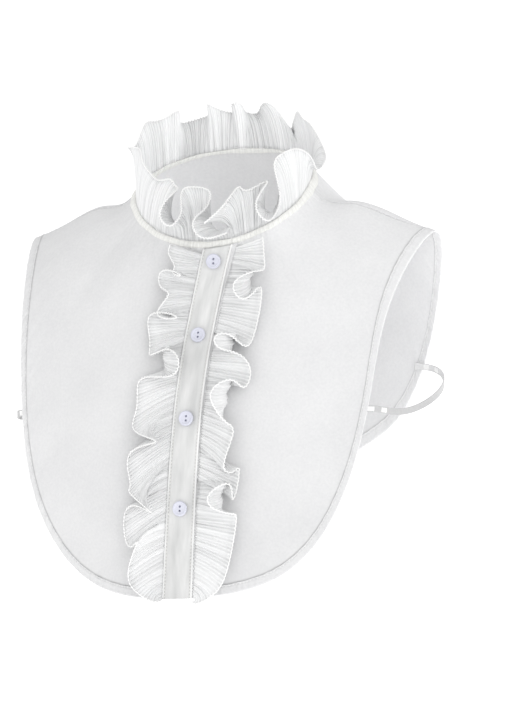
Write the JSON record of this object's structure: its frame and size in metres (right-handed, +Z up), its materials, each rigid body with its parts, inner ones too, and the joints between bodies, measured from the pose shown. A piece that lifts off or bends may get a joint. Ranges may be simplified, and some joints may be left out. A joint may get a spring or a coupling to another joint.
{
  "type": "detachable collar",
  "caption": "White detachable collar: a ruffled standing neck on a short bib with a ruffled button placket, worn and filled out, with an elastic under each arm.",
  "frame": {"origin": "middle of the neck seam, where the wearer's neck and shoulders hold the collar up", "axes": "+Z up as worn, -Y out of the front, +X to the wearer's left"},
  "size_m": [0.3343, 0.2098, 0.367],
  "materials": {
    "panel_cloth": "fine plain weave, matt, cool white",
    "ruffle_cloth": "thin finely pleated chiffon with an overlocked edge, bright white",
    "placket_satin": "satin with a soft lengthwise sheen and topstitched sides",
    "binding_cloth": "narrow ivory binding, matt",
    "button_plastic": "pale lavender-blue, low gloss",
    "elastic_cloth": "flat woven elastic, light grey-white"
  },
  "bodies": {
    "root": {"front_panel_right": "panel_cloth", "front_panel_left": "panel_cloth", "back_panel": "panel_cloth", "edge_band_front_right": "panel_cloth", "edge_band_front_left": "panel_cloth", "edge_band_back": "panel_cloth", "neck_binding": "binding_cloth", "neck_ruffle": "ruffle_cloth", "under_placket": "panel_cloth", "placket": "placket_satin", "placket_ruffle_right": "ruffle_cloth", "placket_ruffle_left": "ruffle_cloth", "button_1": "button_plastic", "button_2": "button_plastic", "button_3": "button_plastic", "button_4": "button_plastic", "elastic_right": "elastic_cloth", "elastic_left": "elastic_cloth"}
  },
  "joints": []
}
